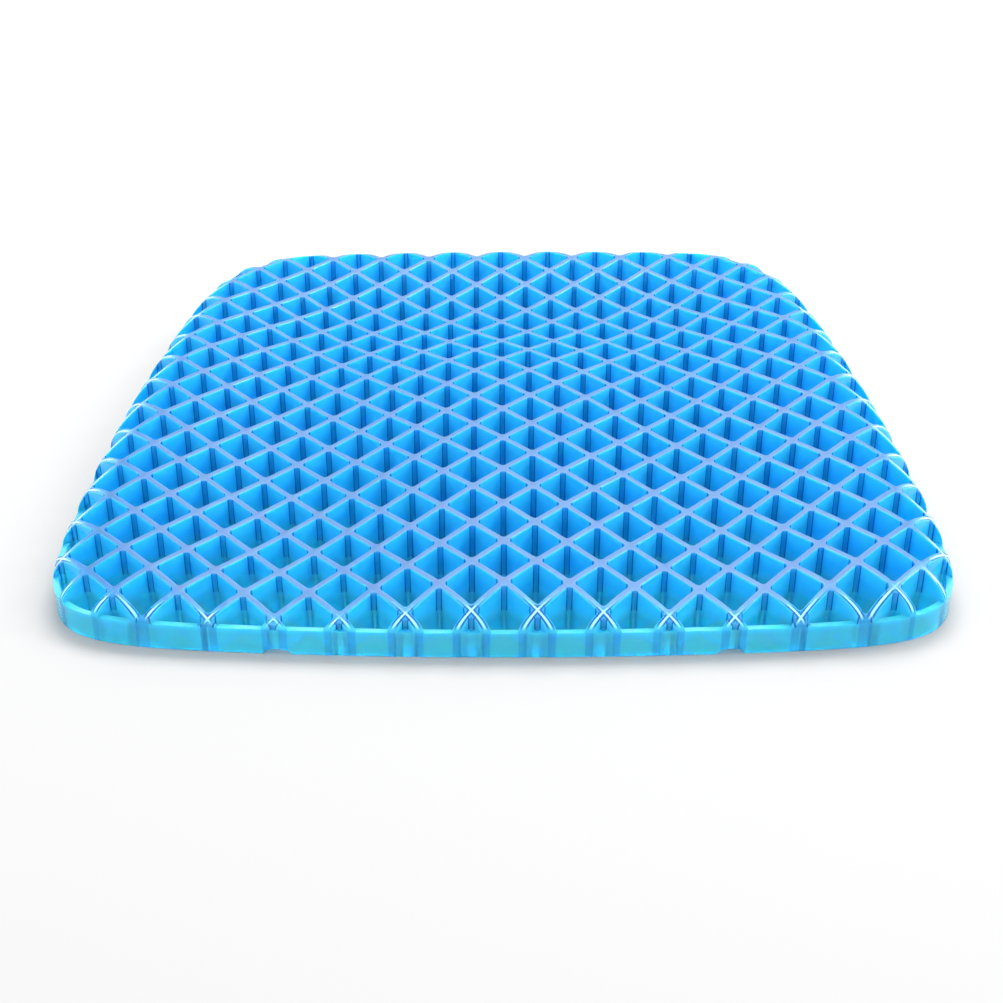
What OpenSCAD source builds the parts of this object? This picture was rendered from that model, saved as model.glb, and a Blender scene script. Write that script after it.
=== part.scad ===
// Gel lattice seat cushion.
// One soft gel moulding: a low band around the edge and two families of
// upright ribs that run diagonally and cross at right angles, so that every
// cell is a square well open at the top and at the bottom. The ribs' top
// edges follow a dished seat surface, and near the edge they curve down to
// the band like a quarter ellipse.
// X is to the sitter's right seen from the front, -Y is the front edge, +Z is
// up. The origin is the centre of the plan outline on the resting face.

/* [Cells] */
// Side of one square cell, from rib centre to rib centre
cell_pitch = 20; // [18:0.5:24]
// Thickness of every rib
rib_t = 3; // [1.8:0.1:3.6]

/* [Edge band] */
// Height of the band around the edge
rim_h = 12.5; // [8:0.5:18]
// Thickness of the band
rim_t = 2.8; // [1.6:0.1:2.8]
// Width of each vent notch under the front of the band
notch_w = 12; // [12:1:12]
// Rise of each vent notch
notch_h = 2.6; // [2.6:0.1:2.6]
// Distance of each vent notch from the centre line, in half cell diagonals
notch_x = 6.93; // [6.93:0.01:6.93]

/* [Outline, in half cell diagonals] */
// Half the width at mid depth
half_w = 13.8; // [13.7:0.01:14]
// Half the depth on the centre line
half_d = 13.25; // [13.25:0.01:13.4]
// How much the sides draw in towards the back
side_taper = 0.103; // [0.09:0.001:0.103]
// How much the sides curve outwards between the corners
side_swell = 0.057; // [0.05:0.001:0.057]
// How much the front edge bows forwards
front_bow = 0.06; // [0.06:0.001:0.06]
// How much the back edge bows backwards
back_bow = 0.053; // [0.053:0.001:0.053]
// Squareness of the front corners
front_corner = 10.6; // [9:0.1:10.6]
// Squareness of the back corners
back_corner = 8.2; // [8.2:0.1:11]

/* [Seat surface] */
// Height of the surface before the hollows are taken off
base_h = 42; // [42:0.1:42]
// Depth by which the front falls away under the thighs
front_fall = 19.8; // [19.8:0.1:19.8]
// Depth of the two leg channels
leg_channel = 5.3; // [5.3:0.1:5.3]
// Distance of each leg channel from the centre line, in half cell diagonals
leg_x = 6.5; // [6.5:0.1:6.5]
// Depth of the hollow under the seat bones
seat_hollow = 10; // [10:0.1:10]
// Height of the low ridge between the legs
ridge = 2.5; // [2.5:0.1:2.5]
// Width over which the rib ends curve down to the band
edge_round = 31; // [14:1:40]

/* [Hidden] */
u = cell_pitch / sqrt(2);        // half a cell diagonal
ribs = 24;                       // ribs in each direction
shift_y = 0.2 * u;               // the lattice sits this far back of centre
steps = 240;                     // points along the outline

// half width of the outline at y, and half depth at x
function wide(y) = let (v = y / (13.1 * u))
    half_w * u * (1 - side_taper * v - side_swell * v * v);
function deep(x, y) = let (q = x / (14.4 * u))
    half_d * u * (1 - (y < 0 ? front_bow : back_bow) * q * q);

// 0 at the centre and 1 on the outline
function rho(p) = let (n = p[1] < 0 ? front_corner : back_corner)
    pow(pow(abs(p[0] / wide(p[1])), n) + pow(abs(p[1] / deep(p[0], p[1])), n), 1 / n);

// point of the outline in direction a, found by rescaling the radius
function reach(a, r, k) = k == 0 ? r
    : reach(a, r / rho([r * cos(a), r * sin(a)]), k - 1);
function edge(a) = let (r = reach(a, 13.5 * u, 24)) [r * cos(a), r * sin(a)];

// the outline moved inwards by d along its own normal
function inset(a, d) = let (
    t = edge(a + 0.05) - edge(a - 0.05), n = [-t[1], t[0]] / norm(t))
    edge(a) + d * n;

// bell curve of width w
function bell(x, w) = exp(-pow(x / w, 2));

// seat surface without its rounded edge; distances are in half diagonals
function seat(p) = let (x = p[0] / u, y = p[1] / u)
    base_h
    + ridge * bell(x, 8) * bell(y + 7, 4)
    - leg_channel * bell(abs(x) - leg_x, 3.75) / (1 + exp((y - 10) / 1.25))
    - seat_hollow * bell(x, 7.1) * bell(y - 6.6, 4.1)
    - front_fall / (1 + exp((y + 5.07) / 4.76));

// height of a rib's top edge at p: the seat surface, rounded off to the band
function top(p) = let (
    t = min(1, max(0, (1 - rho(p)) * 14 * u / edge_round)))
    rim_h + (seat(p) - rim_h) * sqrt(1 - (1 - t) * (1 - t));

// true distance from p to the outline, close to it
function depth(p) = let (
    e = 0.05, g = [rho(p + [e, 0]) - rho(p - [e, 0]), rho(p + [0, e]) - rho(p - [0, e])])
    (1 - rho(p)) * 2 * e / norm(g);

// Rib n of a family. side = 1 runs back towards the right, -1 towards the left.
// Its centre line is at(side, n, 0, s), and off moves sideways from that line.
function along(side) = [side, 1] / sqrt(2);
function across(side) = [1, -side] / sqrt(2);
function place(side, n) = (n - (side > 0 ? 12 : 13)) * cell_pitch
    + (side > 0 ? -1 : 1) * shift_y / sqrt(2);
function at(side, n, off, s) = (place(side, n) + off) * across(side) + s * along(side);

// s at which one face of a rib is d inside the outline: stepped inwards from
// outside, then halved. e = -1 is the front end and 1 the back end.
function inside(side, n, off, s, d) = let (p = at(side, n, off, s))
    rho(p) < 1 && depth(p) > d;
function first_in(side, n, off, s, step, d) = inside(side, n, off, s, d) ? s
    : first_in(side, n, off, s + step, step, d);
function halve(side, n, off, a, b, d, k) = k == 0 ? b
    : let (m = (a + b) / 2) inside(side, n, off, m, d)
        ? halve(side, n, off, a, m, d, k - 1) : halve(side, n, off, m, b, d, k - 1);
function face_end(side, n, off, e, d) = let (
    step = -e * u * 0.1, s = first_in(side, n, off, e * 22 * u, step, d))
    halve(side, n, off, s - step, s, d, 16);
function rib_end(side, n, e, d) = let (
    p = face_end(side, n, -rib_t / 2, e, d), q = face_end(side, n, rib_t / 2, e, d))
    e < 0 ? max(p, q) : min(p, q);

// height of a rib's top edge
function crest(side, n, s) = top(at(side, n, 0, s));

// Where rib n crosses the other family, the moulding is divided halfway
// between the band's height and the rib's top: the right-running rib owns the
// crossing below that and the left-running rib above it, so the two solids
// meet face to face. Each crossing is [s, height of the division].
function crossings(side, n, a, b) = [for (k = [1:ribs]) let (
    m = side > 0 ? k : ribs + 1 - k, s = side * place(-side, m))
    if (s > a + 0.2 && s < b - 0.2) [s, (rim_h + crest(side, n, s)) / 2]];

// distances from a rib's end: close together where the edge is steep
function soft_step(k) = 0.3 * k * k;

// stretch of top edge from a to b, with close points towards a rounded end
function stretch(side, n, a, b, round_a, round_b) = let (len = b - a)
    len < 0.02 ? [] : concat(
        [[a, crest(side, n, a)]],
        round_a || round_b
            ? let (q = [for (k = [1:12]) if (soft_step(k) < len - 0.4) soft_step(k)])
                round_a ? [for (d = q) [a + d, crest(side, n, a + d)]]
                    : [for (k = [len(q) - 1:-1:0]) [b - q[k], crest(side, n, b - q[k])]]
            : [[(a + b) / 2, crest(side, n, (a + b) / 2)]],
        [[b, crest(side, n, b)]]);

// Top edge of a rib. The right-running ribs are cut down at each crossing.
function upper(side, n, a, b, c) = let (h = rib_t / 2, m = len(c))
    side < 0 || m == 0
    ? concat(
        stretch(side, n, a, m > 0 ? c[0][0] : (a + b) / 2, true, false),
        m > 1 ? [for (k = [0:m - 2]) each stretch(side, n, c[k][0] + 0.01, c[k + 1][0], false, false)] : [],
        stretch(side, n, (m > 0 ? c[m - 1][0] : (a + b) / 2) + 0.01, b, false, true))
    : concat(
        c[0][0] - h > a + 1 ? stretch(side, n, a, c[0][0] - h, true, false)
            : [[a, rim_h], [a + 0.3, c[0][1]]],
        [for (k = [0:m - 1]) each concat(
            k > 0 || c[0][0] - h > a + 1 ? [[c[k][0] - h, c[k][1]]] : [],
            k < m - 1 || c[k][0] + h < b - 1 ? [[c[k][0] + h, c[k][1]]] : [],
            k < m - 1 ? stretch(side, n, c[k][0] + h, c[k + 1][0] - h, false, false) : [])],
        c[m - 1][0] + h < b - 1 ? stretch(side, n, c[m - 1][0] + h, b, false, true)
            : [[b - 0.3, c[m - 1][1]], [b, rim_h]]);

// Underside of a rib, from its back end to its front end: flat on the resting
// plane, and up over the band at both ends. The left-running ribs are cut away
// under each crossing.
function lower(side, n, a, b, ia, ib, c) = let (h = rib_t / 2, m = len(c))
    side > 0 || m == 0 ? [[b, rim_h], [ib, rim_h], [ib, 0], [ia, 0], [ia, rim_h], [a, rim_h]]
    : concat(
        c[m - 1][0] + h < b - 1 ? [[b, rim_h]] : [],
        c[m - 1][0] + h > ib - 0.5 ? [] : [[ib, rim_h], [ib, 0]],
        [for (k = [m - 1:-1:0]) let (
            r = c[k][0] + h, l = c[k][0] - h,
            in_r = r < ib - 0.5, in_l = l > ia + 0.5)
            each concat(
                in_r ? [[r, 0], [r, c[k][1]]] : r < b - 1 ? [[r, rim_h], [r, c[k][1]]] : [[b, c[k][1]]],
                in_l ? [[l, c[k][1]], [l, 0]] : l > a + 1 ? [[l, c[k][1]], [l, rim_h]] : [[a, c[k][1]]])],
        c[0][0] - h < ia + 0.5 ? [] : [[ia, 0], [ia, rim_h]],
        c[0][0] - h > a + 1 ? [[a, rim_h]] : []);

// the same points without repeats
function once(p) = [for (k = [0:len(p) - 1]) if (norm(p[k] - p[(k + 1) % len(p)]) > 0.001) p[k]];

// A left-running rib whose last crossing is at its very tip starts where its
// top edge is above the division.
function tip(side, n, a, s, e) = side < 0 && abs(s - a) < rib_t / 2 + 1
    ? a + 0.4 * (s - a) : a;

module outline_2d() {
    polygon([for (k = [0:steps - 1]) edge(360 * k / steps)]);
}

module inner_2d() {
    polygon([for (k = [0:steps - 1]) inset(360 * k / steps, rim_t)]);
}

// the band's own solid, before the vent notches
module band() {
    difference() {
        linear_extrude(rim_h) outline_2d();
        translate([0, 0, -1]) linear_extrude(rim_h + 2) inner_2d();
    }
}

// one rib, standing on the resting plane
module rib(side, n) {
    a0 = rib_end(side, n, -1, 0.2);
    b0 = rib_end(side, n, 1, 0.2);
    ia = rib_end(side, n, -1, rim_t + 0.2);
    ib = rib_end(side, n, 1, rim_t + 0.2);
    c = crossings(side, n, a0, b0);
    a = tip(side, n, a0, c[0][0], -1);
    b = tip(side, n, b0, c[len(c) - 1][0], 1);
    o = place(side, n) * across(side);
    translate([o[0], o[1], 0])
        rotate([0, 0, side > 0 ? 45 : 135])
            translate([0, rib_t / 2, 0])
                rotate([90, 0, 0])
                    linear_extrude(rib_t)
                        polygon(once(concat(upper(side, n, a, b, c), lower(side, n, a, b, ia, ib, c))));
}

// Low band around the edge, in four lengths that meet at the corners. A length
// is what lies between two rays from the centre through its corners.
module band_length(p, q) {
    color([0.36, 0.78, 0.97])
        intersection() {
            band();
            translate([0, 0, -1])
                linear_extrude(rim_h + 2)
                    polygon([[0, 0], 2 * p, 2 * q]);
        }
}

front_x = half_w * u * (1 + side_taper - side_swell);
back_x = half_w * u * (1 - side_taper - side_swell);
front_y = deep(front_x, -1);
back_y = deep(back_x, 1);

// the front length, with two shallow vent notches under it
module band_front() {
    r = notch_w * notch_w / 8 / notch_h + notch_h / 2;
    difference() {
        band_length([-front_x, -front_y], [front_x, -front_y]);
        for (s = [-1, 1])
            translate([s * notch_x * u, -10 * u, notch_h - r])
                rotate([90, 0, 0])
                    color([0.36, 0.78, 0.97])
                        cylinder(h = 5 * u, r = r, $fn = 64);
    }
}

module band_back() { band_length([back_x, back_y], [-back_x, back_y]); }
module band_left() { band_length([-back_x, back_y], [-front_x, -front_y]); }
module band_right() { band_length([front_x, -front_y], [back_x, back_y]); }

// ribs that run back towards the right, counted from the back left corner
module rib_right(n) { color([0.16, 0.62, 0.95]) rib(1, n); }

// ribs that run back towards the left, counted from the front left corner
module rib_left(n) { color([0.22, 0.68, 0.97]) rib(-1, n); }

band_front();
band_back();
band_left();
band_right();
rib_right(1);  // rib_right_01
rib_right(2);  // rib_right_02
rib_right(3);  // rib_right_03
rib_right(4);  // rib_right_04
rib_right(5);  // rib_right_05
rib_right(6);  // rib_right_06
rib_right(7);  // rib_right_07
rib_right(8);  // rib_right_08
rib_right(9);  // rib_right_09
rib_right(10);  // rib_right_10
rib_right(11);  // rib_right_11
rib_right(12);  // rib_right_12
rib_right(13);  // rib_right_13
rib_right(14);  // rib_right_14
rib_right(15);  // rib_right_15
rib_right(16);  // rib_right_16
rib_right(17);  // rib_right_17
rib_right(18);  // rib_right_18
rib_right(19);  // rib_right_19
rib_right(20);  // rib_right_20
rib_right(21);  // rib_right_21
rib_right(22);  // rib_right_22
rib_right(23);  // rib_right_23
rib_right(24);  // rib_right_24
rib_left(1);  // rib_left_01
rib_left(2);  // rib_left_02
rib_left(3);  // rib_left_03
rib_left(4);  // rib_left_04
rib_left(5);  // rib_left_05
rib_left(6);  // rib_left_06
rib_left(7);  // rib_left_07
rib_left(8);  // rib_left_08
rib_left(9);  // rib_left_09
rib_left(10);  // rib_left_10
rib_left(11);  // rib_left_11
rib_left(12);  // rib_left_12
rib_left(13);  // rib_left_13
rib_left(14);  // rib_left_14
rib_left(15);  // rib_left_15
rib_left(16);  // rib_left_16
rib_left(17);  // rib_left_17
rib_left(18);  // rib_left_18
rib_left(19);  // rib_left_19
rib_left(20);  // rib_left_20
rib_left(21);  // rib_left_21
rib_left(22);  // rib_left_22
rib_left(23);  // rib_left_23
rib_left(24);  // rib_left_24
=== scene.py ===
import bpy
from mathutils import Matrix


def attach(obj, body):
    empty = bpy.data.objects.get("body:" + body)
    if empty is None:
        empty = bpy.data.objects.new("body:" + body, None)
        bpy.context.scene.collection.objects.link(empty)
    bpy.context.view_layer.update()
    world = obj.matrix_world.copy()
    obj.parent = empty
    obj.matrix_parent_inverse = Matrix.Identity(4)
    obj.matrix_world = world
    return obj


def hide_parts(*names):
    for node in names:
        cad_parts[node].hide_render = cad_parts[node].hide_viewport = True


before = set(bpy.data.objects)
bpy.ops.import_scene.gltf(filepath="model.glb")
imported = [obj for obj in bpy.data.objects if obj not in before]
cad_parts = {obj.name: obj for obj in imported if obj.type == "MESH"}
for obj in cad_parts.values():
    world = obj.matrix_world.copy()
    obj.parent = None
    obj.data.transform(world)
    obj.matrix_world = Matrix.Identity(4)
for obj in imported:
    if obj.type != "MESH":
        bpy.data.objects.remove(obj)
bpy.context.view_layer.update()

import math
import bpy
import numpy as np
from mathutils import Matrix, Vector
from mathutils.geometry import delaunay_2d_cdt

# ----------------------------------------------------------------------------
# The moulding's shape, in millimetres: the same surfaces as the CAD part
# ----------------------------------------------------------------------------
PITCH, RIB_T, RIM_H, RIM_T = 20.0, 3.0, 12.5, 2.8
U = PITCH / math.sqrt(2)
NOTCH_W, NOTCH_H, NOTCH_X = 12.0, 2.6, 6.93
HALF_W, HALF_D, TAPER, SWELL = 13.80, 13.25, 0.103, 0.057
FRONT_BOW, BACK_BOW, FRONT_CORNER, BACK_CORNER = 0.06, 0.053, 10.6, 8.2
BASE_H, FRONT_FALL, CHANNEL, LEG_X, HOLLOW, RIDGE = 42.0, 19.8, 5.3, 6.5, 10.0, 2.5
EDGE_ROUND, SHIFT = 31.0, 0.2 * U
LEAN = 0.010           # this cushion is a little thicker towards +X
FILLET = 1.5          # radius in the upright corners of a cell
SOFT = 0.35          # rounding along the ribs' top edges


def wide(y):
    v = y / (13.1 * U)
    return HALF_W * U * (1 - TAPER * v - SWELL * v * v)


def deep(x, y):
    q = x / (14.4 * U)
    return HALF_D * U * (1 - np.where(y < 0, FRONT_BOW, BACK_BOW) * q * q)


def rho(x, y):
    n = np.where(y < 0, FRONT_CORNER, BACK_CORNER)
    return (np.abs(x / wide(y)) ** n + np.abs(y / deep(x, y)) ** n) ** (1 / n)


def depth(x, y):
    """Distance inwards from the outline, exact near it."""
    e = 0.05
    gx = (rho(x + e, y) - rho(x - e, y)) / (2 * e)
    gy = (rho(x, y + e) - rho(x, y - e)) / (2 * e)
    return (1 - rho(x, y)) / np.maximum(np.hypot(gx, gy), 1e-6)


def bell(x, w):
    return np.exp(-(x / w) ** 2)


def seat(x, y):
    X, Y = x / U, y / U
    return (BASE_H + RIDGE * bell(X, 8) * bell(Y + 7, 4)
            - CHANNEL * bell(np.abs(X) - LEG_X, 3.75) / (1 + np.exp((Y - 10) / 1.25))
            - HOLLOW * bell(X, 7.1) * bell(Y - 6.6, 4.1)
            - FRONT_FALL / (1 + np.exp((Y + 5.07) / 4.76)))


def top(x, y):
    t = np.clip((1 - rho(x, y)) * 14 * U / EDGE_ROUND, 0, 1)
    return RIM_H + (seat(x, y) + LEAN * x - RIM_H) * np.sqrt(np.maximum(0, 1 - (1 - t) ** 2))


def outline(count, inset=0.0):
    """The outline moved inwards along its own normal."""
    a = np.arange(count) * 2 * math.pi / count

    def edge(a):
        r = np.full(a.shape, 13.5 * U)
        for _ in range(30):
            r = r / rho(r * np.cos(a), r * np.sin(a))
        return np.stack([r * np.cos(a), r * np.sin(a)], 1)
    p = edge(a)
    # even spacing along the curve
    for _ in range(3):
        d = np.concatenate([[0], np.cumsum(np.hypot(*np.diff(np.vstack([p, p[:1]]), axis=0).T))])
        want = np.arange(count) * d[-1] / count
        a2 = np.interp(want, d, np.concatenate([a, [a[0] + 2 * math.pi]]))
        a = a2
        p = edge(a)
    t = edge(a + 1e-4) - edge(a - 1e-4)
    n = np.stack([-t[:, 1], t[:, 0]], 1) / np.hypot(t[:, 0], t[:, 1])[:, None]
    return p + inset * n


# ----------------------------------------------------------------------------
# Cells of the lattice
# ----------------------------------------------------------------------------
HALF = (PITCH - RIB_T) / 2
DIAG = 1 / math.sqrt(2)


def cell_ring(cx, cy, out, arc=4, side=2):
    """Rounded square of one cell, grown by out. Its sides run at 45 degrees."""
    h, r = HALF + out, FILLET + out
    pts = []
    for k in range(4):
        a0 = k * math.pi / 2
        ox = (h - r) * (1 if k in (0, 3) else -1)
        oy = (h - r) * (1 if k in (0, 1) else -1)
        for j in range(arc + 1):
            a = a0 + j / arc * math.pi / 2
            pts.append((ox + r * math.cos(a), oy + r * math.sin(a)))
        nk = (k + 1) % 4
        nx = (h - r) * (1 if nk in (0, 3) else -1)
        ny = (h - r) * (1 if nk in (0, 1) else -1)
        a = a0 + math.pi / 2
        sx, sy = ox + r * math.cos(a), oy + r * math.sin(a)
        ex, ey = nx + r * math.cos(a), ny + r * math.sin(a)
        for j in range(1, side + 1):
            t = j / (side + 1)
            pts.append((sx + (ex - sx) * t, sy + (ey - sy) * t))
    p = np.array(pts)
    return np.stack([cx + (p[:, 0] - p[:, 1]) * DIAG, cy + (p[:, 0] + p[:, 1]) * DIAG], 1)


def cell_distance(x, y):
    """Signed distance from the nearest cell's wall: above 0 inside the ribs."""
    s, t = (x + y - SHIFT) * DIAG, (x - y + SHIFT) * DIAG
    px = s - (np.floor(s / PITCH) + 0.5) * PITCH
    py = t - (np.floor(t / PITCH) + 0.5) * PITCH
    qx, qy = np.abs(px) - (HALF - FILLET), np.abs(py) - (HALF - FILLET)
    return np.hypot(np.maximum(qx, 0), np.maximum(qy, 0)) + np.minimum(np.maximum(qx, qy), 0) - FILLET


def cell_centres():
    out = []
    for i in range(-17, 18):
        for j in range(-17, 18):
            # corners of a cell are rib crossings; its centre is between them
            s, t = (i + 0.5) * PITCH, (j + 0.5) * PITCH
            x, y = (s + t) * DIAG, (s - t) * DIAG + SHIFT
            if rho(np.float64(x), np.float64(y)) < 1.09:
                out.append((x, y))
    return out


def notch(x, y, d):
    """Rise of the underside: the two vent arches in the front band."""
    z = np.zeros_like(x)
    for s in (-1, 1):
        t = np.clip(np.abs(x - s * NOTCH_X * U) / (NOTCH_W / 2), 0, 1)
        z = np.maximum(z, NOTCH_H * np.sqrt(1 - t * t))
    return np.where(y < 0, z * np.clip((RIM_T + 1.5 - d) / 1.5, 0, 1), 0.0)


def build_gel():
    points, edges = [], []

    def loop(p):
        n0 = len(points)
        points.extend(map(tuple, p))
        m = len(p)
        edges.extend((n0 + k, n0 + (k + 1) % m) for k in range(m))

    outer = outline(600)
    loop(outer)
    inner = outline(600, RIM_T)
    loop(inner)
    for d in (0.05, 0.2, 0.5, 1.0, 1.8, 4.3, 6.2, 8.5, 11.5, 15.5):
        loop(outline(420 if d > 3 else 600, d))
    # fine slices across the band at the vents
    for s in (-1, 1):
        for k in range(13):
            x = s * NOTCH_X * U + NOTCH_W / 2 * math.cos(math.pi * k / 12)
            y = -float(deep(np.float64(x), np.float64(-1.0)))
            for _ in range(8):
                y = y / float(rho(np.float64(x), np.float64(y)))
            n0 = len(points)
            points.extend([(x, y + 0.001), (x, y + 4.4)])
            edges.append((n0, n0 + 1))
    centres = cell_centres()
    small = []
    for cx, cy in centres:
        g = (np.arange(40) + 0.5) / 40 * 2 * HALF - HALF
        a, b = np.meshgrid(g, g)
        gx, gy = cx + (a - b) * DIAG, cy + (a + b) * DIAG
        inside = (depth(gx, gy) > RIM_T) & (rho(gx, gy) < 1)
        area = inside.sum() * (2 * HALF / 40) ** 2
        small.append(area < 8)
        for out in (0.0, 0.16, SOFT):
            loop(cell_ring(cx, cy, out))
    verts, _, faces, *_ = delaunay_2d_cdt([Vector(p) for p in points], edges, [], 0, 1e-4)
    P = np.array([(v.x, v.y) for v in verts])
    F = np.array([f for f in faces if len(f) == 3], dtype=np.int64)
    A, B, C = P[F[:, 0]], P[F[:, 1]], P[F[:, 2]]
    area = (B[:, 0] - A[:, 0]) * (C[:, 1] - A[:, 1]) - (B[:, 1] - A[:, 1]) * (C[:, 0] - A[:, 0])
    F[area < 0] = F[area < 0][:, ::-1]
    M = (A + B + C) / 3
    mx, my = M[:, 0], M[:, 1]
    # what each triangle is: 0 open, 1 band only, 2 rib
    def inside_poly(px, py, poly):
        inside = np.zeros(px.shape, bool)
        q = np.roll(poly, -1, 0)
        for (x1, y1), (x2, y2) in zip(poly, q):
            hit = ((y1 > py) != (y2 > py))
            if hit.any():
                xi = x1 + (py - y1) * (x2 - x1) / (y2 - y1 if y2 != y1 else 1e-12)
                inside ^= hit & (px < xi)
        return inside
    in_outer = inside_poly(mx, my, outer)
    in_inner = inside_poly(mx, my, inner)
    rib = cell_distance(mx, my) > 0
    # rounded squares are polygons: near a corner use the polygon itself
    near = np.abs(cell_distance(mx, my)) < 0.12
    idx = np.nonzero(near)[0]
    cc = np.array(centres)
    ci = np.round(((mx + my - SHIFT) * DIAG) / PITCH - 0.5)
    cj = np.round(((mx - (my - SHIFT)) * DIAG) / PITCH - 0.5)
    base = cell_ring(0.0, 0.0, 0.0)
    lx = mx - ((ci + 0.5) + (cj + 0.5)) * PITCH * DIAG
    ly = my - (((ci + 0.5) - (cj + 0.5)) * PITCH * DIAG + SHIFT)
    rib[idx] = ~inside_poly(lx[idx], ly[idx], base)
    kind = np.where(~in_outer, 0, np.where(rib, 2, np.where(in_inner, 0, 1)))
    # slivers of a cell against the band are filled to the band's height
    tiny = {(round((x + y - SHIFT) * DIAG / PITCH - 0.5), round((x - (y - SHIFT)) * DIAG / PITCH - 0.5))
            for (x, y), s in zip(centres, small) if s}
    for k in np.nonzero((kind == 0) & in_outer)[0]:
        if (int(ci[k]), int(cj[k])) in tiny:
            kind[k] = 1
    keep = kind > 0
    F, kind = F[keep], kind[keep]

    x, y = P[:, 0], P[:, 1]
    d = depth(x, y)
    z_env = np.where(rho(x, y) < 1, top(x, y), RIM_H)
    c = np.clip(cell_distance(x, y), 0, SOFT)
    drop = SOFT - np.sqrt(np.maximum(0, SOFT ** 2 - (SOFT - c) ** 2))
    drop = np.minimum(drop, (z_env - RIM_H) * 0.5)
    z_rib = np.maximum(z_env - drop, RIM_H)
    z_low = notch(x, y, d)

    # vertices: a column of up to three heights at every plan point
    table, out_v, out_f = {}, [], []

    def vert(i, level):
        if level == 2 and z_rib[i] - RIM_H < 1e-3:
            level = 1
        key = (i, level)
        if key not in table:
            table[key] = len(out_v)
            out_v.append((x[i], y[i], (z_low[i], RIM_H, z_rib[i])[level]))
        return table[key]

    def add(ids):
        clean = [v for k, v in enumerate(ids) if v != ids[k - 1]]
        if len(clean) >= 3 and len(set(clean)) == len(clean):
            out_f.append(clean)

    owner = {}
    for t, (f, k) in enumerate(zip(F.tolist(), kind.tolist())):
        for a, b in ((0, 1), (1, 2), (2, 0)):
            owner[(f[a], f[b])] = k
        add([vert(i, k) for i in f])
        add([vert(i, 0) for i in reversed(f)])
    for (a, b), k in owner.items():
        other = owner.get((b, a), 0)
        if other >= k:
            continue
        for level in range(other, k):
            add([vert(a, level), vert(b, level), vert(b, level + 1), vert(a, level + 1)])
    return np.array(out_v) / 1000.0, out_f


gel_v, gel_f = build_gel()
mesh = bpy.data.meshes.new("gel_moulding")
mesh.from_pydata(gel_v.tolist(), [], gel_f)
mesh.update()
gel = bpy.data.objects.new("gel_moulding", mesh)
bpy.context.scene.collection.objects.link(gel)
mesh.polygons.foreach_set("use_smooth", np.ones(len(mesh.polygons), bool))
mesh.set_sharp_from_angle(angle=math.radians(42))
mesh.update()

# ----------------------------------------------------------------------------
# Gel
# ----------------------------------------------------------------------------
mat = bpy.data.materials.new("gel")
mat.use_nodes = True
nt = mat.node_tree
nt.nodes.clear()
N = nt.nodes.new
link = nt.links.new
out = N("ShaderNodeOutputMaterial")
pb = N("ShaderNodeBsdfPrincipled")
link(pb.outputs["BSDF"], out.inputs["Surface"])
clear = N("ShaderNodeMapRange")
clear.inputs["To Min"].default_value = 0.72
clear.inputs["To Max"].default_value = 0.8

pb.inputs["Subsurface Weight"].default_value = 1.0
pb.inputs["Subsurface Radius"].default_value = (0.15, 0.6, 1.0)
pb.inputs["Subsurface Scale"].default_value = 0.004
pb.inputs["IOR"].default_value = 1.36
pb.inputs["Specular IOR Level"].default_value = 0.25

geo = N("ShaderNodeNewGeometry")
sep = N("ShaderNodeSeparateXYZ")
link(geo.outputs["Normal"], sep.inputs[0])
up = N("ShaderNodeMapRange")
up.inputs["From Min"].default_value = 0.84
up.inputs["From Max"].default_value = 0.975
link(sep.outputs["Z"], up.inputs["Value"])
coord = N("ShaderNodeTexCoord")
where = N("ShaderNodeSeparateXYZ")
link(coord.outputs["Object"], where.inputs[0])


def calc(kind, a, b=None, c=None):
    """One maths node; a number or a socket for each input."""
    n = N("ShaderNodeMath")
    n.operation = kind
    for k, v in enumerate((a, b, c)):
        if v is None:
            continue
        if isinstance(v, (int, float)):
            n.inputs[k].default_value = v
        else:
            link(v, n.inputs[k])
    return n.outputs[0]


def ramp(v, lo, hi, a=0.0, b=1.0):
    n = N("ShaderNodeMapRange")
    n.interpolation_type = "SMOOTHSTEP"
    for key, val in (("From Min", lo), ("From Max", hi), ("To Min", a), ("To Max", b)):
        n.inputs[key].default_value = val
    link(v, n.inputs["Value"])
    return n.outputs["Result"]


# a rib's top: level, and above the band's own ledge
above = ramp(where.outputs["Z"], 0.0135, 0.0160)
crown = calc("MULTIPLY", up.outputs["Result"], above)
# how near an upright corner of a cell: the smaller of the two distances from
# the cell's centre lines, in millimetres
sx = calc("MULTIPLY", calc("ADD", where.outputs["X"], calc("SUBTRACT", where.outputs["Y"], SHIFT / 1000)), 1000 * DIAG / PITCH)
sy = calc("MULTIPLY", calc("SUBTRACT", where.outputs["X"], calc("SUBTRACT", where.outputs["Y"], SHIFT / 1000)), 1000 * DIAG / PITCH)
px = calc("ABSOLUTE", calc("MULTIPLY", calc("SUBTRACT", calc("FRACT", sx), 0.5), PITCH))
py = calc("ABSOLUTE", calc("MULTIPLY", calc("SUBTRACT", calc("FRACT", sy), 0.5), PITCH))
nearest = calc("MINIMUM", px, py)
start = HALF - FILLET
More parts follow.
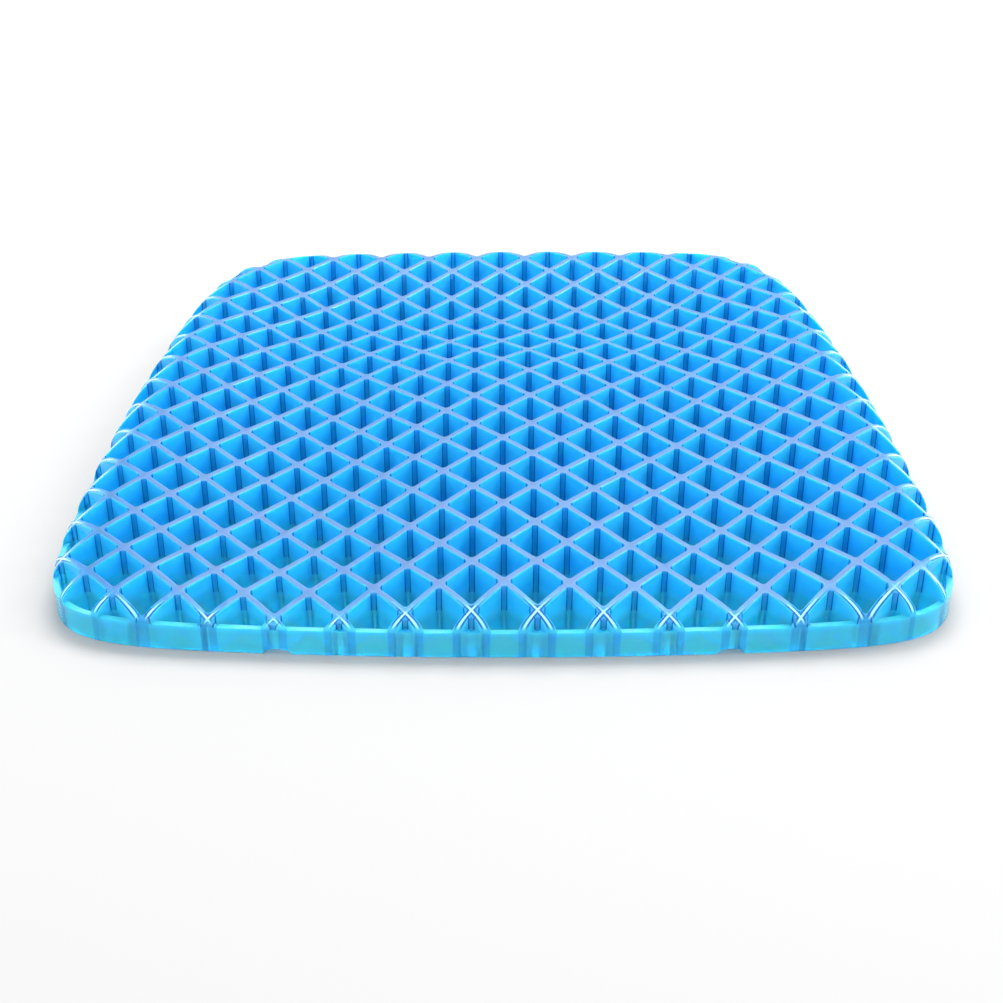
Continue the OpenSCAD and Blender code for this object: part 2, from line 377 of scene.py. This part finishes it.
# painted shade in the upright corners of a cell: two dark lines where the flat walls turn into the corner's round, and
# a fainter dark fill across the round
shade_line_pair = calc("MULTIPLY", ramp(nearest, start - 0.55, start - 0.25), ramp(nearest, start + 0.05, start + 0.35, 1.0, 0.0))
corner_shade = calc("MAXIMUM", shade_line_pair, ramp(nearest, start - 0.2, start + 0.2, 0.0, 0.45))
corner_shade = calc("MULTIPLY", calc("MULTIPLY", corner_shade, ramp(where.outputs["Z"], 0.0118, 0.0130)), calc("SUBTRACT", 1.0, crown))
# walls' colour (A) against the rib tops' own blue (B): the tops' blue is a painted tone for how the light falls on the
# level tops
tone = N("ShaderNodeMix")
tone.data_type = "RGBA"
floor_glow = N("ShaderNodeMix")          # painted light: paler and greener low down and in the band, standing in for the floor's light shining in through the gel
floor_glow.data_type = "RGBA"
floor_glow.inputs["A"].default_value = (0.045, 0.64, 0.98, 1)
floor_glow.inputs["B"].default_value = (0.17, 0.88, 1.0, 1)
link(ramp(where.outputs["Z"], 0.008, 0.018, 0.9, 0.0), floor_glow.inputs["Factor"])
link(floor_glow.outputs["Result"], tone.inputs["A"])
tone.inputs["B"].default_value = (0.02, 0.20, 0.44, 1)
link(crown, tone.inputs["Factor"])

cloud = N("ShaderNodeTexNoise")
cloud.inputs["Scale"].default_value = 60
cloud.inputs["Detail"].default_value = 3
link(coord.outputs["Object"], cloud.inputs["Vector"])
varied = N("ShaderNodeMix")
varied.data_type = "RGBA"
varied.blend_type = "MULTIPLY"
varied.inputs["B"].default_value = (0.9, 0.97, 1.0, 1)
link(cloud.outputs["Fac"], varied.inputs["Factor"])
link(tone.outputs["Result"], varied.inputs["A"])
# dark blue laid over the walls: painted shade in the cells' corners and along the edges of the ribs' curved ends
dark = N("ShaderNodeMix")
dark.data_type = "RGBA"
dark.inputs["B"].default_value = (0.0, 0.10, 0.36, 1)
# where a rib curves down to the band: painted shade along its edges and a painted highlight (glint) along its middle,
# with less transmission under the highlight
across = calc("SUBTRACT", calc("MAXIMUM", px, py), HALF)
slope = calc("MULTIPLY", ramp(sep.outputs["Z"], 0.15, 0.3), ramp(sep.outputs["Z"], 0.86, 0.96, 1.0, 0.0))
slope = calc("MULTIPLY", slope, above)
edge = calc("MULTIPLY", slope, calc("MULTIPLY", ramp(across, 0.30, 0.40), ramp(across, 0.80, 1.05, 1.0, 0.0)))
glint = calc("MULTIPLY", slope, ramp(across, 1.08, 1.3, 0.0, 0.8))
link(calc("MAXIMUM", corner_shade, edge), dark.inputs["Factor"])
link(crown, clear.inputs["Value"])
link(ramp(where.outputs["Z"], 0.0090, 0.0170, 0.85, 0.68), clear.inputs["To Min"])
link(calc("MULTIPLY", clear.outputs["Result"], calc("SUBTRACT", 1.0, calc("MULTIPLY", glint, 0.8))), pb.inputs["Transmission Weight"])
# the painted highlight's pale colour, laid along the glint
shine = N("ShaderNodeMix")
shine.data_type = "RGBA"
shine.inputs["B"].default_value = (0.42, 0.62, 0.85, 1)
link(glint, shine.inputs["Factor"])
# painted shade: the ribs' ends show as darker strips in the band's outer face
band_strip_shade = N("ShaderNodeMix")
band_strip_shade.data_type = "RGBA"
band_strip_shade.inputs["B"].default_value = (0.04, 0.40, 0.80, 1)
in_band = ramp(where.outputs["Z"], 0.0118, 0.0130, 1.0, 0.0)
link(calc("MULTIPLY", in_band, ramp(across, 0.1, 0.5, 0.0, 0.6)), band_strip_shade.inputs["Factor"])
link(dark.outputs["Result"], band_strip_shade.inputs["A"])
link(band_strip_shade.outputs["Result"], shine.inputs["A"])
link(varied.outputs["Result"], dark.inputs["A"])
link(shine.outputs["Result"], pb.inputs["Base Color"])
rough = N("ShaderNodeMapRange")
rough.inputs["To Min"].default_value = 0.10
rough.inputs["To Max"].default_value = 0.16
link(cloud.outputs["Fac"], rough.inputs["Value"])
matte = N("ShaderNodeMix")
matte.inputs["B"].default_value = 0.5
link(crown, matte.inputs["Factor"])
link(rough.outputs["Result"], matte.inputs["A"])
link(matte.outputs["Result"], pb.inputs["Roughness"])
fine = N("ShaderNodeTexNoise")
fine.inputs["Scale"].default_value = 180
fine.inputs["Detail"].default_value = 2
link(coord.outputs["Object"], fine.inputs["Vector"])
bump = N("ShaderNodeBump")
bump.inputs["Strength"].default_value = 0.12
bump.inputs["Distance"].default_value = 0.0004
link(fine.outputs["Fac"], bump.inputs["Height"])
link(bump.outputs["Normal"], pb.inputs["Normal"])
vol = N("ShaderNodeVolumeAbsorption")
vol.inputs["Color"].default_value = (0.0, 0.89, 0.995, 1)
vol.inputs["Density"].default_value = 165
link(vol.outputs["Volume"], out.inputs["Volume"])
mesh.materials.append(mat)

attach(gel, "root")
names = ["band_" + b for b in ("front", "back", "left", "right")] + ["rib_%s_%02d" % (s, n) for s in ("right", "left") for n in range(1, 25)]
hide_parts(*names)

# ----------------------------------------------------------------------------
# Floor, light and camera
# ----------------------------------------------------------------------------
floor_mesh = bpy.data.meshes.new("floor")
S = 6.0
floor_mesh.from_pydata([(-S, -S, -0.0003), (S, -S, -0.0003), (S, S, -0.0003), (-S, S, -0.0003)], [], [(0, 1, 2, 3)])
floor = bpy.data.objects.new("floor", floor_mesh)
bpy.context.scene.collection.objects.link(floor)
fm = bpy.data.materials.new("floor")
fm.use_nodes = True
fb = fm.node_tree.nodes["Principled BSDF"]
fn = fm.node_tree.nodes.new("ShaderNodeTexNoise")
fn.inputs["Scale"].default_value = 3
fr = fm.node_tree.nodes.new("ShaderNodeMapRange")
fr.inputs["To Min"].default_value = 0.192
fr.inputs["To Max"].default_value = 0.200
fm.node_tree.links.new(fn.outputs["Fac"], fr.inputs["Value"])
fm.node_tree.links.new(fr.outputs["Result"], fb.inputs["Base Color"])
fb.inputs["Roughness"].default_value = 0.9
fb.inputs["Emission Color"].default_value = (1, 1, 1, 1)
fb.inputs["Emission Strength"].default_value = 0.06
fb.inputs["Specular IOR Level"].default_value = 0.1
floor_mesh.materials.append(fm)

scene = bpy.context.scene
world = bpy.data.worlds.new("world")
world.use_nodes = True
world.node_tree.nodes["Background"].inputs["Color"].default_value = (1, 1, 1, 1)
world.node_tree.nodes["Background"].inputs["Strength"].default_value = 2.7
scene.world = world


def area_light(name, loc, target, size, power):
    data = bpy.data.lights.new(name, "AREA")
    data.shape = "RECTANGLE"
    data.size, data.size_y = size
    data.energy = power
    o = bpy.data.objects.new(name, data)
    scene.collection.objects.link(o)
    o.location = loc
    o.rotation_euler = (Vector(target) - Vector(loc)).to_track_quat("-Z", "Y").to_euler()
    return o


area_light("softbox_back", (0.15, 0.95, 1.75), (0, 0, 0), (1.5, 1.0), 95)
area_light("softbox_side", (1.3, 0.3, 1.2), (0, 0, 0), (0.4, 0.7), 24)

cam_data = bpy.data.cameras.new("camera")
cam = bpy.data.objects.new("camera", cam_data)
scene.collection.objects.link(cam)


def turn(pitch, yaw, roll):
    """Rows: the camera's right, forward and up."""
    cp, sp, cy, sy = math.cos(pitch), math.sin(pitch), math.cos(yaw), math.sin(yaw)
    cr, sr = math.cos(roll), math.sin(roll)
    return (np.array([[cr, 0, sr], [0, 1, 0], [-sr, 0, cr]])
            @ np.array([[1, 0, 0], [0, cp, -sp], [0, sp, cp]])
            @ np.array([[cy, -sy, 0], [sy, cy, 0], [0, 0, 1]]))


right, forward, upward = turn(0.542388, 0.0078535, 0.00459016)
place = Matrix.Identity(4)
for k in range(3):
    place[k][0], place[k][1], place[k][2] = right[k], upward[k], -forward[k]
    place[k][3] = (-0.0061753, -0.782365, 0.436904)[k]
cam.matrix_world = place
cam_data.sensor_width = 36
cam_data.lens = 1707.6 / 1003 * 36
cam_data.clip_start = 0.02
cam_data.clip_end = 50
scene.camera = cam

scene.view_settings.view_transform = "Standard"
scene.view_settings.look = "None"
cyc = scene.cycles
cyc.max_bounces = 40
cyc.transmission_bounces = 40
cyc.glossy_bounces = 6
cyc.diffuse_bounces = 3
